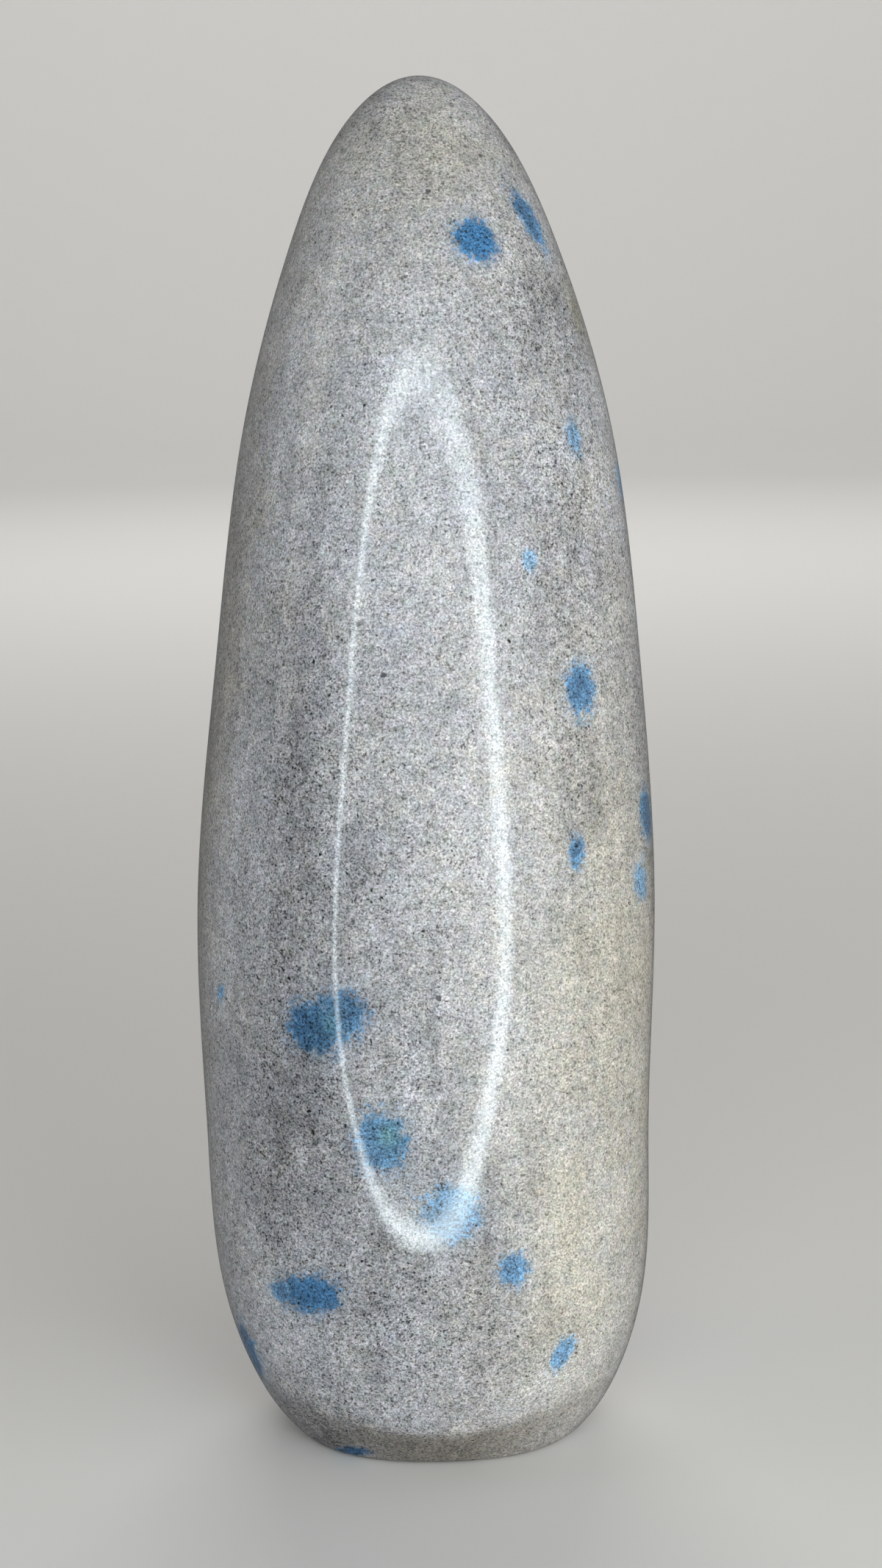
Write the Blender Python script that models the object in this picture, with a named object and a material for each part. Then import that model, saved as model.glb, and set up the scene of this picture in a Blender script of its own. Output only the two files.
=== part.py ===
"""A polished granite freeform: one upright stone with a flat base to stand on.

The stone's horizontal sections are smooth ovals. Named sizes give the oval's half
width, its reach to the front and to the back, and the place of its centre at a few
heights, and a smooth curve runs through them. The front looks along -Y.
"""
import math

import bmesh
import bpy
import numpy as np

MM = 0.001

# Height of the whole stone
HEIGHT = 171.0 * MM

# Sizes of the oval sections, from the base up to just under the tip
SECTION_HEIGHTS = np.array([0.0, 3.0, 8.0, 18.0, 40.0, 70.0, 100.0, 128.0, 150.0, 163.0]) * MM
HALF_WIDTHS = np.array([18.8, 21.4, 24.1, 27.1, 28.3, 28.9, 26.6, 23.0, 16.8, 10.9]) * MM
FRONT_REACHES = np.array([17.2, 17.7, 18.6, 20.3, 21.9, 23.7, 23.4, 20.6, 15.5, 8.9]) * MM
BACK_REACHES = np.array([19.9, 20.5, 21.4, 23.0, 24.5, 23.0, 20.0, 17.0, 12.2, 7.7]) * MM

# Places of the oval's centre, which leans back towards the tip
CENTRE_HEIGHTS = np.array([0.0, 50.0, 90.0, 130.0, 171.0]) * MM
CENTRE_SIDEWAYS = np.array([-1.6, -2.7, -1.8, -1.0, -1.2]) * MM
CENTRE_DEPTHS = np.array([-6.1, -5.2, 0.1, 4.7, 10.5]) * MM

# Share of the radius by which the ground faces pull each oval askew at mid height
GRINDING_SKEW = -0.026
SKEW_LOBES = 4

# Bevel above the base, deepest in front and behind and gone at both sides, where it rises
FRONT_BEVEL_DEPTH = 3.6 * MM
BACK_BEVEL_DEPTH = 2.4 * MM
BEVEL_HEIGHT = 6.8 * MM
BEVEL_RISE = 4.4 * MM
BEVEL_SOFTNESS = 0.15

# Radius of the ground edge around the flat base
BASE_EDGE_RADIUS = 1.0 * MM

# Fineness of the solid, and how far off the axis a point that is no pole lies
SEGMENTS = 80
LEVELS = 60
AXIS_TOLERANCE = 1e-4

# Polished stone
STONE_COLOUR = (0.46, 0.47, 0.46, 1.0)
STONE_ROUGHNESS = 0.22


def clear_scene():
    """Take every object out of the open file."""
    for old_object in list(bpy.data.objects):
        bpy.data.objects.remove(old_object, do_unlink=True)


def smooth_curve(knots, values, places):
    """Values at the places of a natural cubic spline through the knots."""
    gaps = np.diff(knots)
    slopes = np.diff(values) / gaps
    system = np.eye(len(knots))
    change = np.zeros(len(knots))
    for row in range(1, len(knots) - 1):
        system[row, row - 1] = gaps[row - 1]
        system[row, row] = 2.0 * (gaps[row - 1] + gaps[row])
        system[row, row + 1] = gaps[row]
        change[row] = 6.0 * (slopes[row] - slopes[row - 1])
    bends = np.linalg.solve(system, change)
    span = np.clip(np.searchsorted(knots, places, side="right") - 1, 0, len(gaps) - 1)
    gap = gaps[span]
    after = places - knots[span]
    before = knots[span + 1] - places
    cubic = (bends[span] * before**3 + bends[span + 1] * after**3) / (6.0 * gap)
    start = (values[span] / gap - bends[span] * gap / 6.0) * before
    end = (values[span + 1] / gap - bends[span + 1] * gap / 6.0) * after
    return cubic + start + end


def reach_at(reaches, heights):
    """Reach of the wall at each height, drawn in around the base and closed at the tip."""
    knots = np.append(SECTION_HEIGHTS, HEIGHT)
    squares = np.append(reaches**2, 0.0)
    wall = np.sqrt(np.clip(smooth_curve(knots, squares, heights), 0.0, None))
    below_edge = np.clip(1.0 - heights / BASE_EDGE_RADIUS, 0.0, 1.0)
    return wall - BASE_EDGE_RADIUS * (1.0 - np.sqrt(1.0 - below_edge**2))


def bevel_cut(angles, heights):
    """Depth that the bevel takes off the wall: a straight slope with a soft upper end."""
    depth = (FRONT_BEVEL_DEPTH + BACK_BEVEL_DEPTH) / 2.0
    depth = depth + (BACK_BEVEL_DEPTH - FRONT_BEVEL_DEPTH) / 2.0 * np.sin(angles)
    share = 1.0 - heights / (BEVEL_HEIGHT + BEVEL_RISE * np.cos(angles) ** 2)
    soft_share = (share + np.sqrt(share**2 + BEVEL_SOFTNESS**2)) / 2.0
    return depth * np.sin(angles) ** 2 * soft_share


def place_on_stone(directions):
    """Move the points of a unit sphere to the stone's ovals, level for level."""
    levels = np.arccos(np.clip(-directions[:, 2], -1.0, 1.0)) * LEVELS / math.pi
    steps = np.clip((levels - 1.0) / (LEVELS - 1.0), 0.0, 1.0)
    heights = HEIGHT * (1.0 - np.cos(math.pi * steps)) / 2.0
    angles = np.arctan2(directions[:, 1], directions[:, 0])
    off_axis = np.hypot(directions[:, 0], directions[:, 1]) > AXIS_TOLERANCE

    half_width = reach_at(HALF_WIDTHS, heights)
    front = reach_at(FRONT_REACHES, heights)
    back = reach_at(BACK_REACHES, heights)
    fade = np.sin(math.pi * heights / HEIGHT)
    skew = 1.0 + GRINDING_SKEW * fade * np.sin(SKEW_LOBES * angles)
    reach = (back + front) / 2.0 + (back - front) / 2.0 * np.sin(angles)
    radius = off_axis * (skew - bevel_cut(angles, heights) / np.maximum(reach, MM))

    x = smooth_curve(CENTRE_HEIGHTS, CENTRE_SIDEWAYS, heights) + radius * half_width * np.cos(angles)
    y = smooth_curve(CENTRE_HEIGHTS, CENTRE_DEPTHS, heights) + radius * reach * np.sin(angles)
    points = np.stack([x, y, heights], axis=1)
    middle = (points.min(axis=0) + points.max(axis=0)) / 2.0
    middle[2] = 0.0
    return points - middle


def build_stone():
    """Shape a sphere into the stone, with its lowest ring and pole in the flat base."""
    shape = bmesh.new()
    bmesh.ops.create_uvsphere(shape, u_segments=SEGMENTS, v_segments=LEVELS, radius=1.0)
    mesh = bpy.data.meshes.new("stone")
    shape.to_mesh(mesh)
    shape.free()

    directions = np.empty(len(mesh.vertices) * 3, dtype=np.float32)
    mesh.vertices.foreach_get("co", directions)
    points = place_on_stone(directions.reshape(-1, 3).astype(float))
    mesh.vertices.foreach_set("co", points.astype(np.float32).ravel())
    mesh.update()
    mesh.shade_smooth()

    stone = bpy.data.objects.new("stone", mesh)
    bpy.context.scene.collection.objects.link(stone)
    return stone


def polished_stone():
    """Plain grey polished finish."""
    material = bpy.data.materials.new("polished stone")
    material.use_nodes = True
    surface = material.node_tree.nodes["Principled BSDF"]
    surface.inputs["Base Color"].default_value = STONE_COLOUR
    surface.inputs["Roughness"].default_value = STONE_ROUGHNESS
    surface.inputs["Metallic"].default_value = 0.0
    return material


clear_scene()
build_stone().data.materials.append(polished_stone())
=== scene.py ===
"""A polished granite freeform and its studio, laid out as an add-on and run as a script.

The stone is one closed surface with the same sizes as the solid model, in metres. Places on
it are given by bearing and height: a bearing is in degrees round the stone, 0 at the front
(-Y) and growing towards the right hand of someone who looks at the front.
"""
import math
from collections import namedtuple

import bpy
import numpy as np
from mathutils import Matrix, Vector


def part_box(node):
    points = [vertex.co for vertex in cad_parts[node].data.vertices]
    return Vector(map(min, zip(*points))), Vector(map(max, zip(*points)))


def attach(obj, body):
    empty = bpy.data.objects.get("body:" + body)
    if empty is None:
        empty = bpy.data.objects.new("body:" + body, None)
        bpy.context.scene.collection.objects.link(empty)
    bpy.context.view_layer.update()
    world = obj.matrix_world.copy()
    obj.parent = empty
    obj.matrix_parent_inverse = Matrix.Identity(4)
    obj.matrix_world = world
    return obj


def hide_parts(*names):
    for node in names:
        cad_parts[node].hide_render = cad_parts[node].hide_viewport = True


bl_info = {
    "name": "Polished Granite Freeform",
    "version": (1, 0, 0),
    "blender": (4, 5, 0),
    "location": "3D View > Sidebar > Freeform",
    "description": "Builds a polished granite freeform with blue mineral spots and its studio",
    "category": "Add Mesh",
}

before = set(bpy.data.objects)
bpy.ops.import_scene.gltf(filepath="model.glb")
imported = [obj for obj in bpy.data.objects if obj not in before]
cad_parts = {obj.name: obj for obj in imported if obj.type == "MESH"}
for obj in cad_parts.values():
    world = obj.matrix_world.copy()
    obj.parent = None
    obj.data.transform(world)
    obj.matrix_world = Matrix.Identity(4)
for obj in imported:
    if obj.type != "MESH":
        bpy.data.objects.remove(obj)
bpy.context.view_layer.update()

MM = 0.001

# Height of the stone, half width, front and back reach of its oval sections at a few heights,
# and the places of their centre, which leans back towards the tip
HEIGHT = 171.0 * MM
SECTION_HEIGHTS = np.array([0.0, 3.0, 8.0, 18.0, 40.0, 70.0, 100.0, 128.0, 150.0, 163.0]) * MM
HALF_WIDTHS = np.array([18.8, 21.4, 24.1, 27.1, 28.3, 28.9, 26.6, 23.0, 16.8, 10.9]) * MM
FRONT_REACHES = np.array([17.2, 17.7, 18.6, 20.3, 21.9, 23.7, 23.4, 20.6, 15.5, 8.9]) * MM
BACK_REACHES = np.array([19.9, 20.5, 21.4, 23.0, 24.5, 23.0, 20.0, 17.0, 12.2, 7.7]) * MM
CENTRE_HEIGHTS = np.array([0.0, 50.0, 90.0, 130.0, 171.0]) * MM
CENTRE_SIDEWAYS = np.array([-1.6, -2.7, -1.8, -1.0, -1.2]) * MM
CENTRE_DEPTHS = np.array([-6.1, -5.2, 0.1, 4.7, 10.5]) * MM

# Share of the radius by which the ground faces pull each oval askew, and the base's round edge
GRINDING_SKEW = -0.026
SKEW_LOBES = 4
BASE_EDGE_RADIUS = 1.0 * MM

# Bevel above the base, deepest in front and behind and gone at both sides, where it rises
FRONT_BEVEL_DEPTH = 3.6 * MM
BACK_BEVEL_DEPTH = 2.4 * MM
BEVEL_HEIGHT = 6.8 * MM
BEVEL_RISE = 4.4 * MM
BEVEL_SOFTNESS = 0.15

# Share of the bevel's height up to which it carries painted shade and is rougher and less polished, and
# how sharply that ends
BEVEL_TONE_TOP = 0.92
BEVEL_TONE_EDGE = 16

# Powers that set how sharply a blue spot, a patch and a pale patch end
SPOT_EDGE = 3.0
PATCH_EDGE = 2.5
PALE_EDGE = 4.0

# A mark on the stone: where its middle is, its half sizes along the surface in
# millimetres, how far it leans to the right in degrees, and how strong it is
Mark = namedtuple("Mark", "bearing height half_width half_height lean strength")

BLUE_SPOTS = [
    Mark(22.5, 150.9, 2.4, 2.6, 0, 0.92),
    Mark(56.0, 153.3, 1.4, 3.5, -13, 0.75),
    Mark(49.5, 127.9, 0.9, 1.8, 0, 0.20),
    Mark(29.5, 114.1, 0.8, 1.0, 0, 0.15),
    Mark(43.5, 98.7, 1.9, 2.7, 8, 0.69),
    Mark(40.0, 79.7, 1.0, 1.8, 5, 0.65),
    Mark(70.5, 81.7, 2.0, 2.9, 0, 0.70),
    Mark(64.0, 74.1, 1.4, 1.8, 0, 0.35),
    Mark(-27.0, 60.4, 2.9, 2.7, 20, 0.86),
    Mark(-18.5, 62.6, 2.4, 2.2, 0, 0.76),
    Mark(-10.5, 46.8, 2.8, 3.2, -5, 0.72),
    Mark(6.0, 37.5, 3.0, 2.9, 0, 0.40),
    Mark(-30.5, 26.2, 3.2, 2.4, -10, 0.90),
    Mark(-40.5, 25.4, 1.4, 1.1, 0, 0.70),
    Mark(21.5, 29.3, 1.6, 1.8, 0, 0.62),
    Mark(36.5, 16.4, 1.2, 2.1, 23, 0.55),
    Mark(-42.0, 0.8, 2.7, 1.0, 0, 1.00),
    Mark(-68.0, 13.1, 2.4, 4.0, 0, 0.95),
    Mark(-62.0, 61.4, 0.9, 0.9, 0, 0.50),
    Mark(78.5, 121.9, 1.8, 1.9, 0, 0.50),
    Mark(80.5, 104.2, 0.9, 1.4, 0, 0.40),
]

# Slow changes of tone: darker stone, partly painted shade, paler stone, partly painted highlight, warmer
# stone, partly painted warm light, an olive stain, and green hearts of spots
# Dark patches: partly the stone's own darker tone, partly painted shade on the left flank and at the
# foot
DARK_TONE_AND_SHADE_PATCHES = [
    Mark(-36.0, 115.0, 3.0, 10.7, 0, 0.20),
    Mark(-35.0, 94.0, 3.8, 12.4, 0, 0.24),
    Mark(-34.0, 69.0, 4.4, 10.7, 0, 0.26),
    Mark(-26.0, 54.0, 4.4, 9.6, -10, 0.20),
    Mark(-37.0, 42.0, 4.1, 11.5, 0, 0.28),
    Mark(-25.0, 91.0, 3.6, 17.4, 0, 0.16),
    Mark(-14.0, 83.0, 3.6, 8.7, 0, 0.12),
    Mark(-6.0, 64.0, 5.4, 9.4, 0, 0.16),
    Mark(-6.0, 34.0, 9.0, 12.0, 0, 0.20),
    Mark(12.0, 30.0, 4.0, 9.0, 0, 0.20),
    Mark(-52.0, 6.0, 9.0, 5.0, -20, 0.34),
    Mark(83.0, 70.0, 6.0, 50.0, 0, 0.36),
    Mark(50.0, 56.0, 6.0, 13.0, 0, 0.12),
    Mark(52.0, 146.0, 4.3, 9.1, 10, 0.26),
    Mark(32.0, 139.0, 5.1, 13.2, 8, 0.08),
    Mark(44.0, 124.0, 2.0, 5.0, 0, 0.24),
    Mark(34.0, 112.0, 3.0, 12.1, 0, 0.22),
    Mark(43.0, 86.0, 2.6, 11.1, 0, 0.24),
    Mark(-10.0, 163.0, 5.4, 6.7, 0, 0.20),
    Mark(-90.0, 116.0, 5.4, 5.1, 0, 0.20),
    Mark(-32.0, 83.0, 2.0, 7.0, 0, 0.16),
    Mark(-24.0, 47.0, 3.3, 5.0, 0, 0.18),
    Mark(-38.0, 36.0, 3.5, 6.0, 0, 0.20),
    Mark(-46.0, 44.0, 2.3, 5.0, 0, 0.18),
    Mark(-12.0, 23.0, 4.8, 6.5, 0, 0.22),
    Mark(10.0, 19.0, 6.0, 4.5, 0, 0.16),
    Mark(34.0, 18.0, 3.3, 4.0, 0, 0.18),
    Mark(46.0, 117.0, 2.4, 6.0, 8, 0.18),
    Mark(60.0, 141.0, 4.0, 6.0, 12, 0.18),
    Mark(72.0, 86.0, 3.5, 12.0, 0, 0.10),
    Mark(-94.0, 72.0, 6.0, 34.0, 0, 0.38),
    Mark(70.0, 163.0, 3.0, 6.0, 15, 0.24),
    Mark(-52.0, 1.5, 6.0, 2.2, 0, 0.50),
]
# Pale patches: partly paler stone, partly painted highlight, such as the light line just above the bevel
PALE_TONE_AND_HIGHLIGHT_PATCHES = [
    Mark(36.0, 37.0, 6.1, 24.1, 0, 0.14),
    Mark(-58.0, 84.0, 2.6, 24.0, 0, 0.14),
    Mark(30.0, 16.0, 4.2, 4.8, 0, 0.20),
    Mark(-6.0, 20.0, 7.7, 6.6, 0, 0.14),
    Mark(-40.0, 145.0, 3.8, 7.0, 12, 0.22),
    Mark(-44.0, 127.0, 3.5, 7.5, 8, 0.20),
    Mark(-31.0, 121.0, 2.4, 4.5, 0, 0.12),
    Mark(-14.0, 136.0, 2.0, 5.0, 8, 0.16),
    Mark(-37.0, 158.0, 2.2, 5.0, 0, 0.20),
    Mark(28.0, 151.0, 2.6, 3.5, 0, 0.14),
    Mark(42.0, 126.0, 2.5, 4.5, 0, 0.30),
    Mark(-17.0, 95.0, 2.2, 7.5, 0, 0.14),
    Mark(8.0, 70.0, 3.5, 10.0, 0, 0.12),
    Mark(19.0, 52.0, 3.0, 7.5, 0, 0.12),
    Mark(-18.0, 11.0, 4.7, 3.5, 0, 0.16),
    Mark(-3.0, 29.5, 4.5, 4.0, 0, 0.20),
]
# Warm patches: partly the stone's own iron tint, partly painted warm light
WARM_TINT_AND_LIGHT_PATCHES = [
    Mark(62.0, 60.0, 16.0, 42.0, 0, 1.00),
    Mark(38.0, 26.0, 8.0, 20.0, 0, 0.90),
    Mark(0.0, 162.0, 14.0, 12.0, 0, 0.60),
    Mark(-84.0, 80.0, 6.0, 60.0, 0, 0.60),
]
OLIVE_STAINS = [Mark(71.0, 142.3, 2.2, 4.2, 11, 0.80)]
GREEN_HEARTS = [Mark(-8.5, 47.6, 1.0, 1.2, 0, 0.70), Mark(-22.0, 61.2, 0.8, 1.1, 0, 0.40)]

# Single dark specks as bearing, height and radius in millimetres
SPECKS = [
    (-17.5, 107.6, 0.38),
    (-10.5, 101.9, 0.33),
    (3.5, 64.3, 0.42),
    (3.5, 156.6, 0.34),
    (36.5, 160.8, 0.30),
]

# Spots out of the front view: how many, where, and how they look
HIDDEN_SPOTS = 34
HIDDEN_SEED = 11
HIDDEN_BEARINGS = (92.0, 268.0)
HIDDEN_HEIGHTS = (8.0, 158.0)
HIDDEN_HALF_SIZES = (0.9, 3.2)
HIDDEN_SIZE_POWER = 1.6
HIDDEN_STRETCHES = (0.75, 1.35)
HIDDEN_LEANS = (-40.0, 40.0)
HIDDEN_STRENGTHS = (0.45, 1.0)

# How far noise bends the grains, as a share of one grain, and the middle of its range
GRAIN_BEND = 0.9
NOISE_MIDDLE = 0.5

# Widths of the patterns in the rock, and how streaks are drawn out upwards
FINE_SIZE = 0.25 * MM
GRIT_SIZE = 0.8 * MM
HUE_SIZE = 1.3 * MM
LUMP_SIZE = 1.4 * MM
CLOUD_SIZE = 2.6 * MM
STREAK_SIZE = 3.0 * MM
STREAK_DRAW = (1.0, 1.0, 0.22)
CROWD_SIZE = 3.5 * MM
IRON_SIZE = 8.0 * MM
SLOW_SIZE = 12.0 * MM

# Dark flakes: what their size follows, how they end, and how faint the faintest is
FLAKE_CROWDING = 0.9
FLAKE_SHADE_GROWTH = 0.5
FLAKE_WARM_LOSS = 0.1
FLAKE_DRAWS = (0.15, 1.1)
FLAKE_RADIUS = 0.62
LEAST_FLAKE_RADIUS = 0.02
FLAKE_EDGE = (0.55, 1.15)
FAINTEST_FLAKE = 0.35

# Bright grains: which draws give one, how they end, and how much lighter they are
SPARK_DRAWS = (0.93, 0.98)
SPARK_EDGE = (0.5, 0.9)
SPARK_GAIN = 0.3

# What each pattern adds to the tone, and what dark and warm patches and the painted shade on the bevel
# change in it
SUGAR_SHARE = 3.2
GRIT_SHARE = 0.75
GRAIN_SHARE = 0.24
FLAKE_SHARE = 0.5
TONE_LIFT = 0.06
CLOUD_SHARE = 0.56
SLOW_SHARE = 0.5
STREAK_SHARE = 0.14
SHADED_STREAK_SHARE = 1.6
SHADE_CONTRAST = 0.9
WARM_SOFTENING = 0.28
BEVEL_PAINTED_SHADE = 0.46

# What makes the stone warm, partly painted warm light, how far the bevel takes its colour of painted
# shade and warm reflection, and how far hues stray
PATCH_WARMTH = 0.9
IRON_WARMTH = 0.8
GRAIN_WARMTH = 0.2
BEVEL_SHADE_TINT = 0.8
HUE_STRAY = (0.18, 0.12, 0.20)

# Blue grains: what shakes a spot's rim, how blue a grain is, and how dense its blue is
RIM_GRAIN_SHAKE = 0.3
RIM_LUMP_SHAKE = 0.55
RIM_SUGAR_SHAKE = 0.5
RIM_EDGE = (0.28, 0.62)
LEAST_BLUE = 0.42
BLUE_BY_STRENGTH = 0.45
HALO_EDGE = (0.03, 0.5)
HALO_BLUE = 0.14
LEAST_DENSITY = 0.5
DENSITY_BY_COVER = 0.65
DENSITY_BY_GRAIN = 0.4
DENSITY_RANGE = (0.1, 1.0)
BLUE_CONTRAST = 1.1
BLUE_TONES = (-0.1, 2.1)
BLUE_GAIN = 2.0

# Single specks: how dark, and where they end in shares of their radius
SPECK_DARKNESS = 0.85
SPECK_EDGE = (0.6, 1.2)

# Gloss: what adds roughness, the relief under the polish, and the polish as a clear coat
GRAIN_ROUGHNESS = 0.1
FLAKE_ROUGHNESS = 0.1
BEVEL_ROUGHNESS = 0.15
FINE_RELIEF = 0.4
RIM_RELIEF = 0.6
RIM_WIDTH = 0.2
FLAKE_RELIEF = 0.8
RELIEF_STRENGTH = 0.35
RELIEF_DEPTH = 0.02 * MM
STONE_IOR = 1.54
STONE_SHEEN = 0.15
POLISH_IOR = 1.5
POLISH_ROUGHNESS = 0.08
BEVEL_POLISH_LOSS = 0.6

# The view of the front
CAMERA_PLACE = Vector((2.46, -266.87, 144.8)) * MM
CAMERA_PITCH = math.radians(12.7)
CAMERA_ROLL = math.radians(1.09)
CAMERA_LENS = 49.96
SENSOR = 36.0
CLIP_START = 0.01

# The studio's sweep: a flat floor, a fillet and an upright wall, turned round the stone
FLOOR_RADIUS = 1.5
FILLET_RADIUS = 0.5
WALL_HEIGHT = 2.0
SWEEP_COLUMNS = 96
FILLET_ROWS = 24
FLOOR_ROUGHNESS = 0.9

# The ring light that draws the bright loop on the front, a little stretched upwards
RING_PLACE = Vector((2.46, -266.9, 100.5)) * MM
RING_RADIUS = 197.0 * MM
RING_TOP_STRETCH = 0.05
RING_FOOT_SHRINK = 0.05
RING_FOOT_GAIN = 0.6
RING_COLOUR = (0.84, 0.95, 1.0)
RING_ROWS = 9

# Width of its band, and what is added to it towards the top and towards the right
RING_BAND = 33.3 * MM
RING_BAND_TOP = 16.2 * MM
RING_BAND_RIGHT = 9.0 * MM

# Where the ring light is wide and faint: the turn from its top, and how far that reaches
RING_SOFT_TURN = math.radians(28.0)
RING_SOFT_REACH = math.radians(42.0)
RING_SOFT_WIDENING = 0.7
RING_SOFT_DIMMING = 0.4

# Rectangular lights: place and size in metres, colour, whether the polish mirrors it, and aim
Softbox = namedtuple("Softbox", "name place width height colour mirrored aim")
WHITE = (1.0, 1.0, 1.0)
STONE_MIDDLE = (0.0, 0.0, HEIGHT / 2.0)
WALL_MIDDLE = (0.0, 2.0, 0.5)
SOFTBOXES = [
    Softbox("key", (0.8, -0.66, 0.33), 1.2, 0.42, (1.0, 0.99, 0.97), False, STONE_MIDDLE),
    Softbox("fill", (-0.8, -0.1, 0.42), 0.25, 0.6, (1.0, 0.96, 0.9), True, STONE_MIDDLE),
    Softbox("top", (0.1, -0.15, 0.95), 0.7, 0.7, WHITE, True, STONE_MIDDLE),
    Softbox("front", (0.03, -0.27, 0.17), 0.3, 0.3, (0.88, 0.96, 1.0), False, STONE_MIDDLE),
    Softbox("back", (0.0, 0.95, 0.85), 0.9, 0.5, (1.0, 0.99, 0.97), False, STONE_MIDDLE),
    Softbox("wall", (0.0, 1.0, 1.2), 1.4, 0.5, WHITE, False, WALL_MIDDLE),
]


class StoneSettings(bpy.types.PropertyGroup):
    """Sizes and colours of the stone."""

    grain: bpy.props.FloatProperty(
        name="Grain", description="Size of one mineral grain",
        default=0.45 * MM, unit="LENGTH", precision=5,
    )
    sugar: bpy.props.FloatProperty(
        name="Sugar", description="Size of the finest light and dark",
        default=0.24 * MM, unit="LENGTH", precision=5,
    )
    fleck: bpy.props.FloatProperty(
        name="Fleck", description="Size of the cell that holds one dark mica flake",
        default=0.45 * MM, unit="LENGTH", precision=5,
    )
    roughness: bpy.props.FloatProperty(
        name="Roughness", description="Roughness of the stone under the polish",
        default=0.32, subtype="FACTOR",
    )
    cool_colour: bpy.props.FloatVectorProperty(
        name="Cool Stone", description="Stone without iron",
        default=(0.525, 0.54, 0.585), size=3, subtype="COLOR",
    )
    warm_colour: bpy.props.FloatVectorProperty(
        name="Warm Stone", description="Stone with a trace of iron",
        default=(0.59, 0.56, 0.48), size=3, subtype="COLOR",
    )
    # The bevel's darker, browner colour is painted shade with a painted warm reflection
    bevel_shade_colour: bpy.props.FloatVectorProperty(
        name="Bevel", description="Less polished stone above the base",
        default=(0.47, 0.43, 0.36), size=3, subtype="COLOR",
    )
    mica_colour: bpy.props.FloatVectorProperty(
        name="Mica", description="Single dark specks",
        default=(0.07, 0.07, 0.075), size=3, subtype="COLOR",
    )
    olive_colour: bpy.props.FloatVectorProperty(
        name="Olive Stain", description="Tint of the stained stone",
        default=(0.62, 0.58, 0.42), size=3, subtype="COLOR",
    )
    deep_blue: bpy.props.FloatVectorProperty(
        name="Deep Blue", description="Densest blue grains",
        default=(0.046, 0.175, 0.37), size=3, subtype="COLOR",
    )
    light_blue: bpy.props.FloatVectorProperty(
        name="Light Blue", description="Thinnest blue grains",
        default=(0.20, 0.52, 0.86), size=3, subtype="COLOR",
    )
    green: bpy.props.FloatVectorProperty(
        name="Green", description="Green hearts of the spots",
        default=(0.20, 0.50, 0.50), size=3, subtype="COLOR",
    )
    columns: bpy.props.IntProperty(
        name="Columns", description="Faces round the stone", default=300, min=12
    )
    wall_rings: bpy.props.IntProperty(
        name="Wall Rings", description="Rings up the wall", default=300, min=12
    )
    base_rings: bpy.props.IntProperty(
        name="Base Rings", description="Rings in the flat base", default=24, min=2
    )


class StageSettings(bpy.types.PropertyGroup):
    """Colours and strengths of the studio."""

    floor_colour: bpy.props.FloatVectorProperty(
        name="Floor", description="Colour of the floor and wall",
        default=(0.84, 0.83, 0.81), size=3, subtype="COLOR",
    )
    key_power: bpy.props.FloatProperty(
        name="Key", description="Power of the key light", default=5.7, unit="POWER"
    )
    fill_power: bpy.props.FloatProperty(
        name="Fill", description="Power of the fill light", default=0.4, unit="POWER"
    )
    top_power: bpy.props.FloatProperty(
        name="Top", description="Power of the top light", default=0.1, unit="POWER"
    )
    front_power: bpy.props.FloatProperty(
        name="Front", description="Power of the front light", default=0.37, unit="POWER"
    )
    back_power: bpy.props.FloatProperty(
        name="Back", description="Power of the back light", default=4.0, unit="POWER"
    )
    wall_power: bpy.props.FloatProperty(
        name="Wall", description="Power of the light on the wall", default=7.5, unit="POWER"
    )
    ring_strength: bpy.props.FloatProperty(
        name="Ring", description="Strength of the ring light", default=9.5
    )
    room_strength: bpy.props.FloatProperty(
        name="Room", description="Strength of the light all round", default=0.12
    )


def smooth_curve(knots, values, places):
    """Values at the places of a natural cubic spline through the knots."""
    gaps = np.diff(knots)
    slopes = np.diff(values) / gaps
    system = np.eye(len(knots))
    change = np.zeros(len(knots))
    for row in range(1, len(knots) - 1):
        system[row, row - 1] = gaps[row - 1]
        system[row, row] = 2.0 * (gaps[row - 1] + gaps[row])
        system[row, row + 1] = gaps[row]
        change[row] = 6.0 * (slopes[row] - slopes[row - 1])
    bends = np.linalg.solve(system, change)
    span = np.clip(np.searchsorted(knots, places, side="right") - 1, 0, len(gaps) - 1)
    gap = gaps[span]
    after = places - knots[span]
    before = knots[span + 1] - places
    cubic = (bends[span] * before**3 + bends[span + 1] * after**3) / (6.0 * gap)
    start = (values[span] / gap - bends[span] * gap / 6.0) * before
    end = (values[span + 1] / gap - bends[span + 1] * gap / 6.0) * after
    return cubic + start + end


def reach_at(reaches, heights):
    """Reach of the wall at each height, drawn in around the base and closed at the tip.

    The root of a spline through the squared reaches, less a quarter circle at the base edge.
    """
    knots = np.append(SECTION_HEIGHTS, HEIGHT)
    squares = np.append(reaches**2, 0.0)
    wall = np.sqrt(np.clip(smooth_curve(knots, squares, heights), 0.0, None))
    below_edge = np.clip(1.0 - heights / BASE_EDGE_RADIUS, 0.0, 1.0)
    return wall - BASE_EDGE_RADIUS * (1.0 - np.sqrt(1.0 - below_edge**2))


def bevel_cut(angles, heights):
    """Depth that the bevel takes off the wall: a straight slope with a soft upper end.

    The depth goes with the squared sine of the angle. The share of the bevel's height that
    is left turns to nothing along a hyperbola.
    """
    depth = (FRONT_BEVEL_DEPTH + BACK_BEVEL_DEPTH) / 2.0
    depth = depth + (BACK_BEVEL_DEPTH - FRONT_BEVEL_DEPTH) / 2.0 * np.sin(angles)
    share = 1.0 - heights / (BEVEL_HEIGHT + BEVEL_RISE * np.cos(angles) ** 2)
    soft_share = (share + np.sqrt(share**2 + BEVEL_SOFTNESS**2)) / 2.0
    return depth * np.sin(angles) ** 2 * soft_share


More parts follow.
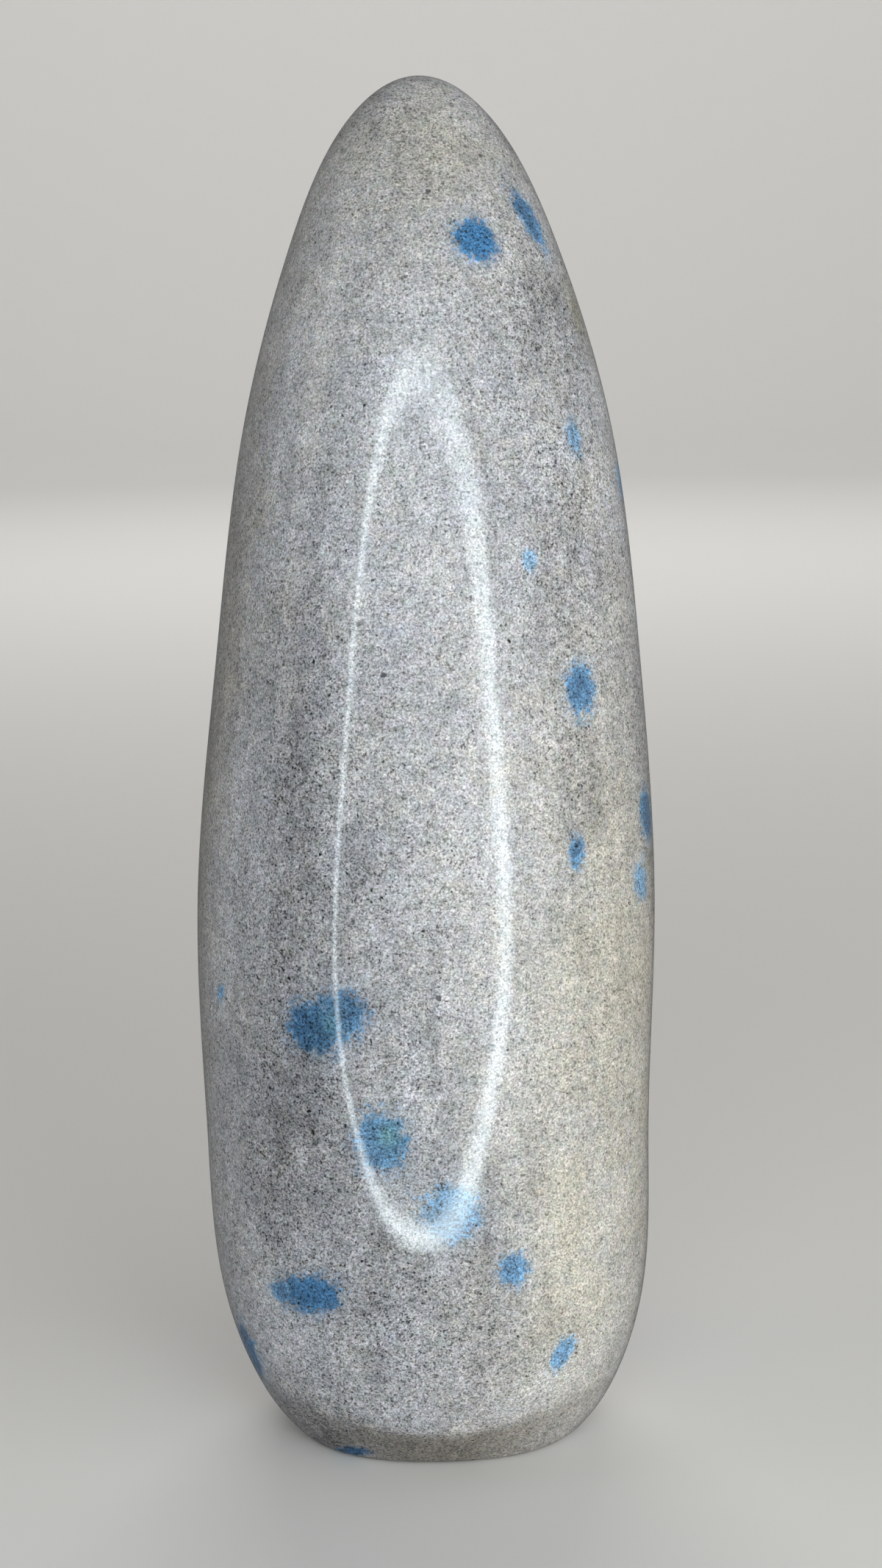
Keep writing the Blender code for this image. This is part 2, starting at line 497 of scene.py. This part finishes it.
def bevel_share(points):
    """Where the bevel's painted shade goes: 1 on the bevel in front and behind, 0 above it and at both
    sides.

    The bevel's height follows the squared cosine of the angle round the leaning centre line,
    and the share the squared sine, over one plus a high power of the height.
    """
    heights = points[:, 2]
    sideways = points[:, 0] - smooth_curve(CENTRE_HEIGHTS, CENTRE_SIDEWAYS, heights)
    depths = points[:, 1] - smooth_curve(CENTRE_HEIGHTS, CENTRE_DEPTHS, heights)
    angles = np.arctan2(depths, sideways)
    share = heights / (BEVEL_HEIGHT + BEVEL_RISE * np.cos(angles) ** 2)
    return np.sin(angles) ** 2 / (1.0 + (share / BEVEL_TONE_TOP) ** BEVEL_TONE_EDGE)


def stone_points(angles, heights, spread=1.0):
    """Points of the stone at an angle round it and a height, as whole arrays.

    Each section is an oval whose reach changes with the sine of the angle from the front's
    to the back's, pulled askew by a small wave of four lobes that fades to both ends. The
    spread shrinks the oval towards its centre, which follows a leaning line.
    """
    fade = np.sin(math.pi * heights / HEIGHT)
    skew = 1.0 + GRINDING_SKEW * fade * np.sin(SKEW_LOBES * angles)
    front = reach_at(FRONT_REACHES, heights)
    back = reach_at(BACK_REACHES, heights)
    reach = (back + front) / 2.0 + (back - front) / 2.0 * np.sin(angles)
    radius = spread * (skew - bevel_cut(angles, heights) / np.maximum(reach, MM))
    half_width = reach_at(HALF_WIDTHS, heights)
    x = smooth_curve(CENTRE_HEIGHTS, CENTRE_SIDEWAYS, heights) + radius * half_width * np.cos(angles)
    y = smooth_curve(CENTRE_HEIGHTS, CENTRE_DEPTHS, heights) + radius * reach * np.sin(angles)
    return np.stack(np.broadcast_arrays(x, y, heights), axis=-1)


def stone_rings(columns, wall_rings, base_rings):
    """Rings of points from inside the flat base over its edge and up to just under the tip.

    The base's rings are evenly spread from its centre, and the wall's heights follow half a
    cosine wave, so that they crowd at the rounded edge and at the tip.
    """
    angles = np.arange(columns) / columns * 2.0 * math.pi
    spread = np.concatenate([np.arange(1, base_rings) / base_rings, np.ones(wall_rings)])
    steps = np.concatenate([np.zeros(base_rings - 1), np.arange(wall_rings) / wall_rings])
    heights = HEIGHT * (1.0 - np.cos(math.pi * steps)) / 2.0
    return stone_points(angles[None, :], heights[:, None], spread[:, None])


def skin(rings, first_pole, last_pole):
    """Vertices, faces and map corners of a closed skin over stacked rings and two poles.

    Quads join each ring to the next, and a fan closes each end. On the map, across is the
    share of the turn and up is the mean length along the skin from the first pole.
    """
    count, columns = rings.shape[:2]
    vertices = np.concatenate([rings.reshape(-1, 3), [first_pole, last_pole]])
    ring, column = np.meshgrid(np.arange(count - 1), np.arange(columns), indexing="ij")
    corner_rings = np.stack([ring, ring, ring + 1, ring + 1], axis=-1).reshape(-1, 4)
    corner_columns = np.stack([column, column + 1, column + 1, column], axis=-1).reshape(-1, 4)
    quads = corner_rings * columns + corner_columns % columns

    turn = np.arange(columns)
    after = turn + 1
    first = np.full(columns, count * columns)
    last_ring = (count - 1) * columns
    first_fan = np.stack([after % columns, turn, first], axis=-1)
    last_fan = np.stack([last_ring + turn, last_ring + after % columns, first + 1], axis=-1)

    pole_rings = [np.tile(pole, (1, columns, 1)) for pole in (first_pole, last_pole)]
    path = np.concatenate([pole_rings[0], rings, pole_rings[1]])
    lengths = np.linalg.norm(np.diff(path, axis=0), axis=2).mean(axis=1)
    up = np.cumsum(lengths) / lengths.sum()
    quad_map = np.stack([corner_columns / columns, up[corner_rings]], axis=-1)
    fan_columns = np.stack([after, turn, turn + 0.5], axis=-1) / columns
    first_map = np.stack([fan_columns, np.tile([up[0], up[0], 0.0], (columns, 1))], axis=-1)
    last_columns = np.stack([turn, after, turn + 0.5], axis=-1) / columns
    last_map = np.stack([last_columns, np.tile([up[-2], up[-2], 1.0], (columns, 1))], axis=-1)
    faces = quads.tolist() + first_fan.tolist() + last_fan.tolist()
    corners = np.concatenate([part.reshape(-1, 2) for part in (quad_map, first_map, last_map)])
    return vertices, faces, corners


def fitted(points, low, high):
    """The points, moved and stretched by their bounds to fill the box from low to high."""
    own_low = points.min(axis=0)
    own_high = points.max(axis=0)
    stretch = (np.array(high) - np.array(low)) / (own_high - own_low)
    return np.array(low) + (points - own_low) * stretch


def angle_of(bearing):
    """Angle round the stone from +X towards +Y, in radians, of a bearing in degrees."""
    return np.radians(bearing - 90.0)


def unit(vectors):
    """The vectors at length 1."""
    return vectors / np.linalg.norm(vectors, axis=-1, keepdims=True)


def cover(points, centre_of, mark, power):
    """How far each point lies inside a mark: 1 at its middle, 0.5 at its rim, 0 far away.

    The distance is measured along the surface's own side and rise at the mark's middle, in
    half sizes, and the cover is one over one plus that distance to the power.
    """
    angle = angle_of(np.array([mark.bearing, mark.bearing + 1.0, mark.bearing]))
    height = np.array([mark.height, mark.height, mark.height + 1.0]) * MM
    middle, beside, above = centre_of(angle, height)
    side = unit(beside - middle)
    rise = unit(above - middle)
    lean = math.radians(mark.lean)
    across = math.cos(lean) * side - math.sin(lean) * rise
    along = math.sin(lean) * side + math.cos(lean) * rise
    offset = (points - middle) / MM
    depth = offset @ np.cross(across, along) / min(mark.half_width, mark.half_height)
    distance = np.sqrt(
        (offset @ across / mark.half_width) ** 2 + (offset @ along / mark.half_height) ** 2 + depth**2
    )
    return 1.0 / (1.0 + distance**power)


def layered(covers, strengths):
    """Covers times their strengths, laid over each other: what one leaves, the next shares."""
    return 1.0 - np.prod(1.0 - covers * strengths[:, None], axis=0)


def patched(points, centre_of, marks, power=PATCH_EDGE):
    """At each point, the marks' soft covers times their strengths, laid over each other."""
    covers = np.array([cover(points, centre_of, mark, power) for mark in marks])
    return layered(covers, np.array([mark.strength for mark in marks]))


def hidden_spots():
    """Spots on the sides and the back, scattered by a seeded draw, most of them small."""
    draw = np.random.default_rng(HIDDEN_SEED)
    bearings = draw.uniform(*HIDDEN_BEARINGS, HIDDEN_SPOTS)
    heights = draw.uniform(*HIDDEN_HEIGHTS, HIDDEN_SPOTS)
    smallest, largest = HIDDEN_HALF_SIZES
    sizes = smallest + (largest - smallest) * draw.random(HIDDEN_SPOTS) ** HIDDEN_SIZE_POWER
    stretches = draw.uniform(*HIDDEN_STRETCHES, HIDDEN_SPOTS)
    leans = draw.uniform(*HIDDEN_LEANS, HIDDEN_SPOTS)
    strengths = draw.uniform(*HIDDEN_STRENGTHS, HIDDEN_SPOTS)
    rows = zip(bearings, heights, sizes * stretches, sizes / stretches, leans, strengths)
    return [Mark(*row) for row in rows]


class Signal:
    """One output of a material's nodes. Arithmetic on it adds Math nodes."""

    def __init__(self, net, socket):
        self.net = net
        self.socket = socket

    def maths(self, operation, first, second):
        """A Math node of two values."""
        inputs = {"Value": first, "Value_001": second}
        return self.net.add("ShaderNodeMath", {"operation": operation}, inputs, "Value")

    def __add__(self, other):
        return self.maths("ADD", self, other)

    def __radd__(self, other):
        return self.maths("ADD", other, self)

    def __sub__(self, other):
        return self.maths("SUBTRACT", self, other)

    def __rsub__(self, other):
        return self.maths("SUBTRACT", other, self)

    def __mul__(self, other):
        return self.maths("MULTIPLY", self, other)

    def __rmul__(self, other):
        return self.maths("MULTIPLY", other, self)

    def __truediv__(self, other):
        return self.maths("DIVIDE", self, other)

    def __rtruediv__(self, other):
        return self.maths("DIVIDE", other, self)

    def swing(self):
        """The value less the middle of noise, so that it swings both ways."""
        return self - NOISE_MIDDLE

    def stepped(self, low, high):
        """0 below low, 1 above high, and a smooth step between them."""
        return self.net.add(
            "ShaderNodeMapRange",
            {"interpolation_type": "SMOOTHSTEP"},
            {"Value": self, "From Min": low, "From Max": high},
            "Result",
        )


class NodeNet:
    """The nodes of one material, added and linked one call at a time."""

    def __init__(self, name):
        self.material = bpy.data.materials.new(name)
        self.material.use_nodes = True
        self.tree = self.material.node_tree
        self.tree.nodes.clear()

    def add(self, kind, settings, inputs, output=None):
        """A node of that kind. Its settings come first, then its sockets, by identifier."""
        node = self.tree.nodes.new(kind)
        for name, value in settings.items():
            setattr(node, name, value)
        sockets = {socket.identifier: socket for socket in node.inputs}
        for name, value in inputs.items():
            if isinstance(value, Signal):
                self.tree.links.new(value.socket, sockets[name])
            else:
                sockets[name].default_value = value
        outputs = {socket.identifier: socket for socket in node.outputs}
        return Signal(self, outputs[output]) if output else outputs

    def blend(self, share, first, second, way="MIX"):
        """Colours mixed by a share."""
        return self.add(
            "ShaderNodeMix",
            {"data_type": "RGBA", "blend_type": way, "clamp_factor": True},
            {"Factor_Float": share, "A_Color": first, "B_Color": second},
            "Result_Color",
        )

    def vector(self, operation, first, second):
        """A Vector Math node of two vectors."""
        inputs = {"Vector": first, "Vector_001": second}
        return self.add("ShaderNodeVectorMath", {"operation": operation}, inputs, "Vector")

    def noise(self, place, size, detail, output="Fac"):
        """Soft noise whose lumps are about as wide as the size, in metres."""
        inputs = {"Vector": place, "Scale": 1.0 / size, "Detail": detail}
        return self.add("ShaderNodeTexNoise", {}, inputs, output)

    def noise_vector(self, place, size, detail):
        """Soft noise in three parts that swing both ways."""
        middle = (NOISE_MIDDLE, NOISE_MIDDLE, NOISE_MIDDLE)
        return self.vector("SUBTRACT", self.noise(place, size, detail, "Color"), middle)

    def cells(self, place, size):
        """Two draws for each cell of a Voronoi pattern, and the distance from its core."""
        node = self.add("ShaderNodeTexVoronoi", {}, {"Vector": place, "Scale": 1.0 / size})
        parts = self.add("ShaderNodeSeparateColor", {}, {"Color": Signal(self, node["Color"])})
        draws = (Signal(self, parts["Red"]), Signal(self, parts["Green"]))
        return *draws, Signal(self, node["Distance"])

    def cell_rims(self, place, size):
        """The distance from the rims of the same cells."""
        inputs = {"Vector": place, "Scale": 1.0 / size}
        return self.add("ShaderNodeTexVoronoi", {"feature": "DISTANCE_TO_EDGE"}, inputs, "Distance")

    def grey(self, value):
        """A colour whose three parts are the value."""
        parts = {"Red": value, "Green": value, "Blue": value}
        return self.add("ShaderNodeCombineColor", {}, parts, "Color")

    def attribute(self, name):
        """A number stored on the mesh."""
        return self.add("ShaderNodeAttribute", {"attribute_name": name}, {}, "Fac")


def solid(colour):
    """A colour with full opacity."""
    return (*colour, 1.0)


class Rock:
    """What the colour and the gloss of the granite share.

    Grains are the cells of a Voronoi pattern in the stone's own space, bent by noise. Flakes
    are the cores of a second pattern's cells, each with a size and a darkness of its own, and
    larger where they crowd and in dark patches.
    """

    def __init__(self, net, settings):
        self.net = net
        self.settings = settings
        self.place = net.add("ShaderNodeTexCoord", {}, {}, "Object")
        self.shade = net.attribute("shade")
        self.warm = net.attribute("warmth")
        self.bevel = net.attribute("bevel")

        reach = settings.grain * GRAIN_BEND
        shake = net.noise_vector(self.place, settings.grain, detail=1.0)
        self.bent = net.vector("ADD", self.place, net.vector("MULTIPLY", shake, (reach, reach, reach)))
        self.grain_draw, self.second_draw, _ = net.cells(self.bent, settings.grain)
        self.rim = net.cell_rims(self.bent, settings.grain)
        self.sugar = net.noise(self.bent, settings.sugar, detail=2.0)

        flake_draw, flake_depth, self.from_core = net.cells(self.bent, settings.fleck)
        crowd = net.noise(self.place, CROWD_SIZE, detail=2.0).swing() * FLAKE_CROWDING
        growth = flake_draw + crowd + self.shade * FLAKE_SHADE_GROWTH - self.warm * FLAKE_WARM_LOSS
        radius = growth.stepped(*FLAKE_DRAWS) * FLAKE_RADIUS + LEAST_FLAKE_RADIUS
        darkness = FAINTEST_FLAKE + flake_depth * (1.0 - FAINTEST_FLAKE)
        self.flake = (1.0 - (self.from_core / radius).stepped(*FLAKE_EDGE)) * darkness

    def contrast(self):
        """How strongly the tone varies: more in dark patches, less in warm ones."""
        return 1.0 - self.warm * WARM_SOFTENING + self.shade * SHADE_CONTRAST

    def texture(self):
        """Light and dark of the single grains, around 0."""
        net = self.net
        core = 1.0 - self.from_core.stepped(*SPARK_EDGE)
        spark = self.grain_draw.stepped(*SPARK_DRAWS) * core * SPARK_GAIN
        grit = net.noise(self.place, GRIT_SIZE, detail=1.0)
        grains = self.sugar.swing() * SUGAR_SHARE + grit.swing() * GRIT_SHARE
        grains = grains + self.second_draw.swing() * GRAIN_SHARE
        return grains + spark - self.flake * FLAKE_SHARE + TONE_LIFT

    def broad_tone(self, contrast):
        """Slow changes of tone, around 1: clouds, streaks, patches that are partly painted shade and
        highlight, and painted shade on the bevel.
        """
        net = self.net
        cloud = net.noise(self.place, CLOUD_SIZE, detail=2.0)
        slow = net.noise(self.place, SLOW_SIZE, detail=3.0)
        drawn_out = net.vector("MULTIPLY", self.place, STREAK_DRAW)
        streak = net.noise(drawn_out, STREAK_SIZE, detail=1.0)
        streak_share = STREAK_SHARE + self.shade * SHADED_STREAK_SHARE
        uneven = cloud.swing() * CLOUD_SHARE + slow.swing() * SLOW_SHARE + streak.swing() * streak_share
        tone = (1.0 + uneven * contrast) * (1.0 - self.shade) * (1.0 + net.attribute("pale"))
        # Painted shade on the bevel
        return tone * (1.0 - self.bevel * BEVEL_PAINTED_SHADE)

    def ground(self, tone):
        """The stone's colour, from cool to warm, with painted warm light in the warm patches and painted
        shade and warm reflection on the bevel, in that tone.
        """
        net = self.net
        settings = self.settings
        iron = net.noise(self.place, IRON_SIZE, detail=2.0).swing() * IRON_WARMTH
        warmth = self.warm * PATCH_WARMTH + iron + self.grain_draw.swing() * GRAIN_WARMTH
        stone = net.blend(warmth, solid(settings.cool_colour), solid(settings.warm_colour))
        # Painted shade and warm reflection on the bevel
        stone = net.blend(self.bevel * BEVEL_SHADE_TINT, stone, solid(settings.bevel_shade_colour))
        olive = net.blend(1.0, stone, solid(settings.olive_colour), "MULTIPLY")
        stone = net.blend(net.attribute("stain"), stone, olive)
        stray = net.vector("MULTIPLY", net.noise_vector(self.place, HUE_SIZE, detail=2.0), HUE_STRAY)
        stone = net.vector("MULTIPLY", stone, net.vector("ADD", stray, WHITE))
        return net.vector("MULTIPLY", stone, net.grey(tone))

    def with_blue(self, stone, texture, broad):
        """The stone with its blue grains.

        A grain turns blue where the spots' cover, shaken grain by grain, passes a limit, so
        that every spot has a speckled rim. The denser the blue, the deeper it is.
        """
        net = self.net
        settings = self.settings
        spots = net.attribute("blue")
        strength = net.attribute("blue_strength")
        lumps = net.noise(self.place, LUMP_SIZE, detail=2.0)
        shaken = spots + self.second_draw.swing() * RIM_GRAIN_SHAKE + lumps.swing() * RIM_LUMP_SHAKE
        shaken = shaken + self.sugar.swing() * RIM_SUGAR_SHAKE
        blueness = shaken.stepped(*RIM_EDGE) * (LEAST_BLUE + strength * BLUE_BY_STRENGTH)
        blueness = blueness + spots.stepped(*HALO_EDGE) * HALO_BLUE
        density = strength * (LEAST_DENSITY + shaken * DENSITY_BY_COVER)
        density = density - self.grain_draw.swing() * DENSITY_BY_GRAIN
        depth = density.stepped(*DENSITY_RANGE)
        tint = net.blend(depth, solid(settings.light_blue), solid(settings.deep_blue))
        tint = net.blend(net.attribute("green"), tint, solid(settings.green))
        blue_tone = (1.0 + texture * BLUE_CONTRAST).stepped(*BLUE_TONES) * BLUE_GAIN * broad
        return net.blend(blueness, stone, net.vector("MULTIPLY", tint, net.grey(blue_tone)))

    def with_specks(self, stone, specks):
        """The stone with single dark specks at their centres."""
        net = self.net
        speck = 0.0
        for centre, radius in specks:
            inputs = {"Vector": self.bent, "Vector_001": centre}
            distance = net.add("ShaderNodeVectorMath", {"operation": "DISTANCE"}, inputs, "Value")
            low, high = SPECK_EDGE
            speck = (1.0 - distance.stepped(radius * low, radius * high)) + speck
        return net.blend(speck * SPECK_DARKNESS, stone, solid(self.settings.mica_colour))

    def roughness(self):
        """Roughness under the polish: a little more on some grains, on flakes and on the bevel."""
        rough = self.settings.roughness + self.second_draw.swing() * GRAIN_ROUGHNESS
        return rough + self.flake * FLAKE_ROUGHNESS + self.bevel * BEVEL_ROUGHNESS

    def normal(self):
        """The normal over grains that stand out a little from their rims and from the flakes."""
        net = self.net
        fine = net.noise(self.place, FINE_SIZE, detail=2.0)
        relief = fine * FINE_RELIEF + self.rim.stepped(0.0, RIM_WIDTH) * RIM_RELIEF
        relief = relief - self.flake * FLAKE_RELIEF
        inputs = {"Strength": RELIEF_STRENGTH, "Distance": RELIEF_DEPTH, "Height": relief}
        return net.add("ShaderNodeBump", {}, inputs, "Normal")


def granite(settings, specks):
    """Polished granite: a pale sugary ground, small dark flakes and blue grains in the spots."""
    net = NodeNet("polished granite")
    rock = Rock(net, settings)
    contrast = rock.contrast()
    texture = rock.texture()
    broad = rock.broad_tone(contrast)
    stone = rock.ground((1.0 + texture * contrast) * broad)
    stone = rock.with_specks(rock.with_blue(stone, texture, broad), specks)
    inputs = {
        "Base Color": stone,
        "Roughness": rock.roughness(),
        "Normal": rock.normal(),
        "IOR": STONE_IOR,
        "Specular IOR Level": STONE_SHEEN,
        "Coat Weight": 1.0 - rock.bevel * BEVEL_POLISH_LOSS,
        "Coat Roughness": POLISH_ROUGHNESS,
        "Coat IOR": POLISH_IOR,
    }
    shader = net.add("ShaderNodeBsdfPrincipled", {}, inputs, "BSDF")
    net.add("ShaderNodeOutputMaterial", {}, {"Surface": shader})
    return net.material


def plain(name, colour, roughness):
    """A matt material of one colour."""
    net = NodeNet(name)
    inputs = {"Base Color": solid(colour), "Roughness": roughness}
    shader = net.add("ShaderNodeBsdfPrincipled", {}, inputs, "BSDF")
    net.add("ShaderNodeOutputMaterial", {}, {"Surface": shader})
    return net.material


def glowing(name, colour, strength):
    """A material that gives light, as much as the mesh's glow says."""
    net = NodeNet(name)
    light = net.vector("MULTIPLY", colour, net.grey(net.attribute("glow")))
    shader = net.add("ShaderNodeEmission", {}, {"Color": light, "Strength": strength}, "Emission")
    net.add("ShaderNodeOutputMaterial", {}, {"Surface": shader})
    return net.material


def new_object(name, vertices, faces, material):
    """A smooth mesh object at the origin."""
    mesh = bpy.data.meshes.new(name)
    mesh.from_pydata(vertices, [], faces)
    mesh.update()
    mesh.shade_smooth()
    mesh.materials.append(material)
    made = bpy.data.objects.new(name, mesh)
    bpy.context.scene.collection.objects.link(made)
    return made


def grid_faces(rows, columns):
    """Quads of an open grid of points, row by row."""
    row, column = np.meshgrid(np.arange(rows - 1), np.arange(columns - 1), indexing="ij")
    start = (row * columns + column).ravel()
    return np.stack([start, start + 1, start + 1 + columns, start + columns], axis=-1).tolist()


class FREEFORM_OT_add_stone(bpy.types.Operator):
    """Add the polished stone with its grains, blue spots and flat base"""

    bl_idname = "freeform.add_stone"
    bl_label = "Add Stone"

    def execute(self, context):
        settings = context.scene.freeform_stone
        rings = stone_rings(settings.columns, settings.wall_rings, settings.base_rings)
        poles = stone_points(np.zeros(2), np.array([0.0, HEIGHT]), 0.0)
        vertices, faces, corners = skin(rings, *poles)
        low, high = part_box("stone")
        own_middle = (vertices.min(axis=0) + vertices.max(axis=0)) / 2.0
        own_middle[2] = 0.0
        vertices = fitted(vertices, low, high)

        def centre_of(angles, heights):
            """Place on the stone in the frame's own coordinates."""
            return stone_points(angles, heights) - own_middle

        specks = []
        for bearing, height, radius in SPECKS:
            centre = centre_of(angle_of(np.array([bearing])), np.array([height * MM]))[0]
            specks.append((tuple(centre), radius * MM))
        stone = new_object("granite_stone", vertices, faces, granite(settings, specks))
        spots = BLUE_SPOTS + hidden_spots()
        covers = np.array([cover(vertices, centre_of, spot, SPOT_EDGE) for spot in spots])
        strengths = np.array([spot.strength for spot in spots])
        nearest = covers.argmax(axis=0)
        fields = {
            # Where the bevel's painted shade and warm reflection go, and where it is rougher
            "bevel": bevel_share(vertices + own_middle),
            "blue": layered(covers, np.ones(len(spots))),
            "blue_strength": strengths[nearest],
            "green": patched(vertices, centre_of, GREEN_HEARTS),
            # Darker stone and painted shade
            "shade": patched(vertices, centre_of, DARK_TONE_AND_SHADE_PATCHES),
            # Paler stone and painted highlight
            "pale": patched(vertices, centre_of, PALE_TONE_AND_HIGHLIGHT_PATCHES, PALE_EDGE),
            # Iron tint and painted warm light
            "warmth": patched(vertices, centre_of, WARM_TINT_AND_LIGHT_PATCHES),
            "stain": patched(vertices, centre_of, OLIVE_STAINS),
        }
        for name, values in fields.items():
            attribute = stone.data.attributes.new(name, "FLOAT", "POINT")
            attribute.data.foreach_set("value", values.astype(np.float32))
        unwrapped = stone.data.uv_layers.new(name="OFBake")
        unwrapped.data.foreach_set("uv", corners.astype(np.float32).ravel())

        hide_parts("stone")
        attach(stone, "root")
        return {"FINISHED"}


def sweep_surface():
    """Rows of a floor whose rim bends up into a round wall: a turned profile.

    The profile runs straight to the floor's radius, through a quarter circle, and straight up.
    """
    bend = np.linspace(0.0, math.pi / 2.0, FILLET_ROWS)
    wall_radius = FLOOR_RADIUS + FILLET_RADIUS
    outward = np.concatenate([[MM], FLOOR_RADIUS + FILLET_RADIUS * np.sin(bend), [wall_radius]])
    upward = np.concatenate([[0.0], FILLET_RADIUS * (1.0 - np.cos(bend)), [WALL_HEIGHT]])
    turn = np.linspace(0.0, 2.0 * math.pi, SWEEP_COLUMNS)
    x = outward[:, None] * np.sin(turn)
    y = outward[:, None] * np.cos(turn)
    z = np.broadcast_to(upward[:, None], x.shape)
    return np.stack([x, y, z], axis=-1)


def ring_surface():
    """Circles in an upright plane between the rims of the ring light, and their glow.

    The radius grows towards the top with the fourth power of the turn's cosine and shrinks
    towards the foot with the sixth. The band is widest at the top right, where a bell curve
    of the turn also dims it. Its glow falls off from its middle as a parabola, and grows
    towards the foot.
    """
    turn = np.linspace(-math.pi, math.pi, SWEEP_COLUMNS)
    across = np.linspace(-1.0, 1.0, RING_ROWS)[:, None]
    stretch = RING_TOP_STRETCH * np.clip(np.cos(turn), 0.0, 1.0) ** 4
    shrink = RING_FOOT_SHRINK * np.clip(-np.cos(turn), 0.0, 1.0) ** 6
    soft = np.exp(-(((turn - RING_SOFT_TURN) / RING_SOFT_REACH) ** 2))
    band = RING_BAND + RING_BAND_TOP * np.cos(turn) + RING_BAND_RIGHT * np.sin(turn)
    band = band * (1.0 + RING_SOFT_WIDENING * soft)
    radii = RING_RADIUS * (1.0 + stretch - shrink) + band * across / 2.0
    x = RING_PLACE.x + radii * np.sin(turn)
    z = RING_PLACE.z + radii * np.cos(turn)
    gain = 1.0 - RING_SOFT_DIMMING * soft + RING_FOOT_GAIN * np.clip(-np.cos(turn), 0.0, 1.0) ** 2
    glow = gain * (1.0 - across**2)
    return np.stack([x, np.full(x.shape, RING_PLACE.y), z], axis=-1), glow


def add_softbox(softbox, power):
    """Add a rectangular light that faces its aim and stays out of the picture."""
    light = bpy.data.lights.new(softbox.name + "_light", "AREA")
    light.shape = "RECTANGLE"
    light.size = softbox.width
    light.size_y = softbox.height
    light.energy = power
    light.color = softbox.colour
    box = bpy.data.objects.new(light.name, light)
    box.location = softbox.place
    towards = Vector(softbox.aim) - box.location
    box.rotation_euler = towards.to_track_quat("-Z", "Y").to_euler()
    box.visible_camera = False
    box.visible_glossy = softbox.mirrored
    bpy.context.scene.collection.objects.link(box)


def add_sweep(settings):
    """Add the pale floor with its round wall, which the polish doesn't mirror."""
    sweep = sweep_surface()
    material = plain("pale floor", settings.floor_colour, FLOOR_ROUGHNESS)
    floor = new_object("studio_floor", sweep.reshape(-1, 3), grid_faces(*sweep.shape[:2]), material)
    floor.visible_glossy = False


def add_ring(settings):
    """Add the ring light, which shows only in the polish."""
    ring, glow = ring_surface()
    material = glowing("ring glow", RING_COLOUR, settings.ring_strength)
    lamp = new_object("ring_light", ring.reshape(-1, 3), grid_faces(*ring.shape[:2]), material)
    attribute = lamp.data.attributes.new("glow", "FLOAT", "POINT")
    attribute.data.foreach_set("value", glow.astype(np.float32).ravel())
    lamp.visible_camera = False
    lamp.visible_diffuse = False
    lamp.visible_shadow = False


def add_room(scene, strength):
    """Give the scene an even white light all round."""
    world = bpy.data.worlds.new("studio")
    world.use_nodes = True
    background = world.node_tree.nodes["Background"]
    background.inputs["Color"].default_value = solid(WHITE)
    background.inputs["Strength"].default_value = strength
    scene.world = world


def add_camera(scene):
    """Add the camera that looks at the front, a little down and tilted."""
    lens = bpy.data.cameras.new("camera")
    lens.sensor_fit = "VERTICAL"
    lens.sensor_width = SENSOR
    lens.sensor_height = SENSOR
    lens.lens = CAMERA_LENS
    lens.clip_start = CLIP_START
    camera = bpy.data.objects.new("camera", lens)
    turn = Matrix.Rotation(-CAMERA_PITCH, 4, "X") @ Matrix.Rotation(CAMERA_ROLL, 4, "Y")
    upright = Matrix.Rotation(math.radians(90.0), 4, "X")
    camera.matrix_world = Matrix.Translation(CAMERA_PLACE) @ turn @ upright
    scene.collection.objects.link(camera)
    bpy.context.scene.camera = camera


class FREEFORM_OT_add_stage(bpy.types.Operator):
    """Add the pale floor, the soft lights and the camera"""

    bl_idname = "freeform.add_stage"
    bl_label = "Add Stage"

    def execute(self, context):
        settings = context.scene.freeform_stage
        add_sweep(settings)
        add_ring(settings)
        for softbox in SOFTBOXES:
            add_softbox(softbox, getattr(settings, softbox.name + "_power"))
        add_room(context.scene, settings.room_strength)
        add_camera(context.scene)
        context.scene.view_settings.view_transform = "Standard"
        return {"FINISHED"}


class FREEFORM_PT_panel(bpy.types.Panel):
    """Sizes, colours and buttons for the stone and its stage"""

    bl_idname = "FREEFORM_PT_panel"
    bl_label = "Granite Freeform"
    bl_space_type = "VIEW_3D"
    bl_region_type = "UI"
    bl_category = "Freeform"

    def draw(self, context):
        for group, button in (
            (context.scene.freeform_stone, FREEFORM_OT_add_stone),
            (context.scene.freeform_stage, FREEFORM_OT_add_stage),
        ):
            box = self.layout.box()
            for name in group.__annotations__:
                box.prop(group, name)
            box.operator(button.bl_idname)


CLASSES = (StoneSettings, StageSettings, FREEFORM_OT_add_stone, FREEFORM_OT_add_stage, FREEFORM_PT_panel)


def register():
    """Register the classes and keep the settings with the scene."""
    for each in CLASSES:
        bpy.utils.register_class(each)
    bpy.types.Scene.freeform_stone = bpy.props.PointerProperty(type=StoneSettings)
    bpy.types.Scene.freeform_stage = bpy.props.PointerProperty(type=StageSettings)


def unregister():
    """Take the settings and the classes out again."""
    del bpy.types.Scene.freeform_stage
    del bpy.types.Scene.freeform_stone
    for each in reversed(CLASSES):
        bpy.utils.unregister_class(each)


def main():
    """Build everything through the operators."""
    register()
    bpy.ops.freeform.add_stone()
    bpy.ops.freeform.add_stage()


if __name__ == "__main__":
    main()
